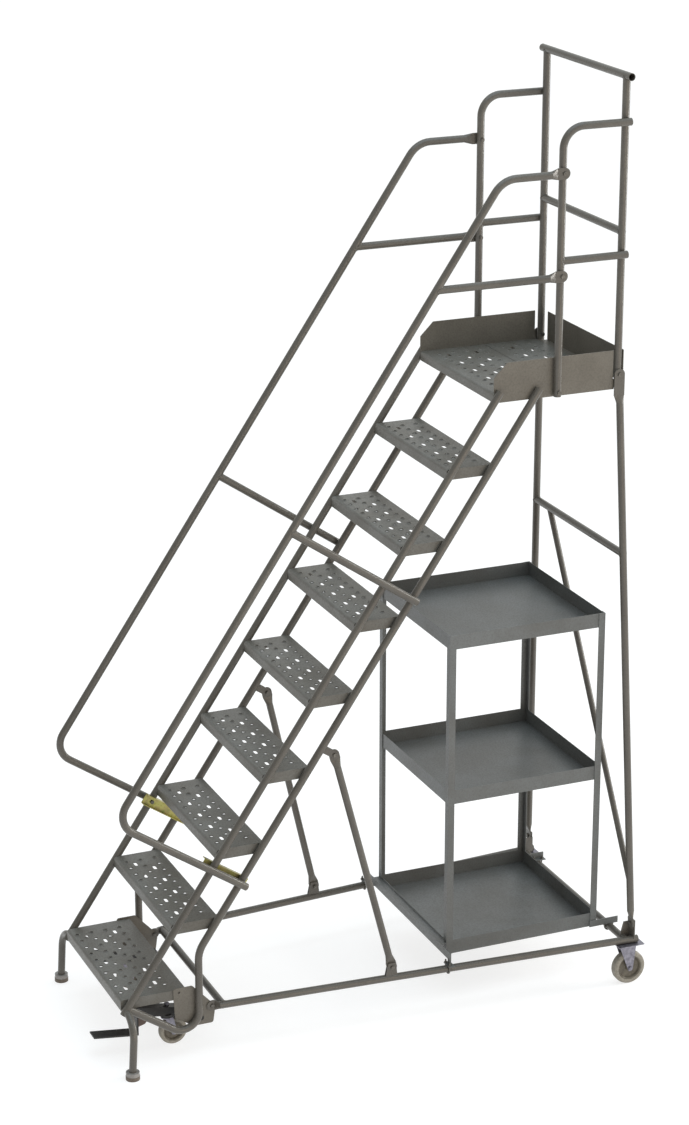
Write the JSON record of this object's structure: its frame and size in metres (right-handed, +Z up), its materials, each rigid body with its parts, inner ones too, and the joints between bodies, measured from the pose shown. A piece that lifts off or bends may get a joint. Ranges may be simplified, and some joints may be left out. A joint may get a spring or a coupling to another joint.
{
  "type": "mobile ladder stand",
  "caption": "Rolling warehouse ladder with perforated steps, guarded platform, handrails, a tray rack under the stair, fixed rear wheels and a foot pedal that lowers front casters.",
  "frame": {"origin": "centre of the footprint bounding box, on the floor", "axes": "+X to the climber's right, +Y in the climbing direction, +Z up"},
  "size_m": [0.916, 2.0604, 3.3498],
  "materials": {
    "grey_steel": "satin",
    "tread_steel": "satin",
    "tray_steel": "satin",
    "black_steel": "satin",
    "yellow_zinc": "satin",
    "bright_zinc": "satin",
    "spring_steel": "satin",
    "wheel_tyre": "matte",
    "foot_rubber": "matte",
    "foot_cap": "matte"
  },
  "bodies": {
    "frame": {"base_cross_tubes": "grey_steel", "base_tube_left": "grey_steel", "base_tube_right": "grey_steel", "brace_lugs": "grey_steel", "brace_strut_left": "grey_steel", "brace_strut_right": "grey_steel", "foot_caps": "foot_cap", "foot_pads": "foot_rubber", "frame_bolts": "bright_zinc", "front_leg_tube": "grey_steel", "front_stringer_left": "grey_steel", "front_stringer_right": "grey_steel", "guard_mid_rails": "grey_steel", "guard_rail_left": "grey_steel", "guard_rail_right": "grey_steel", "handrail_brackets": "yellow_zinc", "handrail_left": "grey_steel", "handrail_mid_rails": "grey_steel", "handrail_right": "grey_steel", "handrail_ties": "grey_steel", "kick_plate_left": "grey_steel", "kick_plate_rear": "grey_steel", "kick_plate_right": "grey_steel", "leg_braces": "grey_steel", "platform_frame": "grey_steel", "platform_panel_front": "tread_steel", "platform_panel_rear": "tread_steel", "rear_leg_left": "grey_steel", "rear_leg_right": "grey_steel", "rear_mid_bar": "grey_steel", "rear_post_left": "grey_steel", "rear_post_right": "grey_steel", "rear_stringer_left": "grey_steel", "rear_stringer_right": "grey_steel", "rear_top_bar": "grey_steel", "rear_wheel_forks": "bright_zinc", "side_plates": "grey_steel", "tray_bottom": "tray_steel", "tray_middle": "tray_steel", "tray_mounts": "tray_steel", "tray_posts": "tray_steel", "tray_top": "tray_steel", "tread_1": "tread_steel", "tread_2": "tread_steel", "tread_3": "tread_steel", "tread_4": "tread_steel", "tread_5": "tread_steel", "tread_6": "tread_steel", "tread_7": "tread_steel", "tread_8": "tread_steel", "u_bolts": "bright_zinc"},
    "carriage": {"carriage_frame": "black_steel", "pedal": "black_steel", "pedal_spring": "spring_steel"},
    "caster_yoke_left": {"caster_fork_left": "bright_zinc"},
    "caster_yoke_right": {"caster_fork_right": "bright_zinc"},
    "caster_roller_left": {"caster_wheel_left": "wheel_tyre"},
    "caster_roller_right": {"caster_wheel_right": "wheel_tyre"},
    "rear_roller_left": {"rear_wheel_left": "wheel_tyre"},
    "rear_roller_right": {"rear_wheel_right": "wheel_tyre"}
  },
  "joints": [
    {"name": "carriage_hinge", "type": "hinge", "parent": "frame", "child": "carriage", "pos_m": [0, -0.66325, 0.128], "axis": [1, 0, 0], "range_deg": [0, 9], "stiffness_Nm_per_rad": 40, "springref_deg": -20.05},
    {"name": "caster_swivel_left", "type": "hinge", "parent": "carriage", "child": "caster_yoke_left", "pos_m": [-0.228, -0.76525, 0.125], "axis": [0, 0, 1], "continuous": true},
    {"name": "caster_spin_left", "type": "hinge", "parent": "caster_yoke_left", "child": "caster_roller_left", "pos_m": [-0.228, -0.74525, 0.0628], "axis": [1, 0, 0], "continuous": true},
    {"name": "rear_spin_left", "type": "hinge", "parent": "frame", "child": "rear_roller_left", "pos_m": [-0.428, 0.96675, 0.0635], "axis": [1, 0, 0], "continuous": true},
    {"name": "caster_swivel_right", "type": "hinge", "parent": "carriage", "child": "caster_yoke_right", "pos_m": [0.228, -0.76525, 0.125], "axis": [0, 0, 1], "continuous": true},
    {"name": "caster_spin_right", "type": "hinge", "parent": "caster_yoke_right", "child": "caster_roller_right", "pos_m": [0.228, -0.74525, 0.0628], "axis": [1, 0, 0], "continuous": true},
    {"name": "rear_spin_right", "type": "hinge", "parent": "frame", "child": "rear_roller_right", "pos_m": [0.428, 0.96675, 0.0635], "axis": [1, 0, 0], "continuous": true}
  ]
}
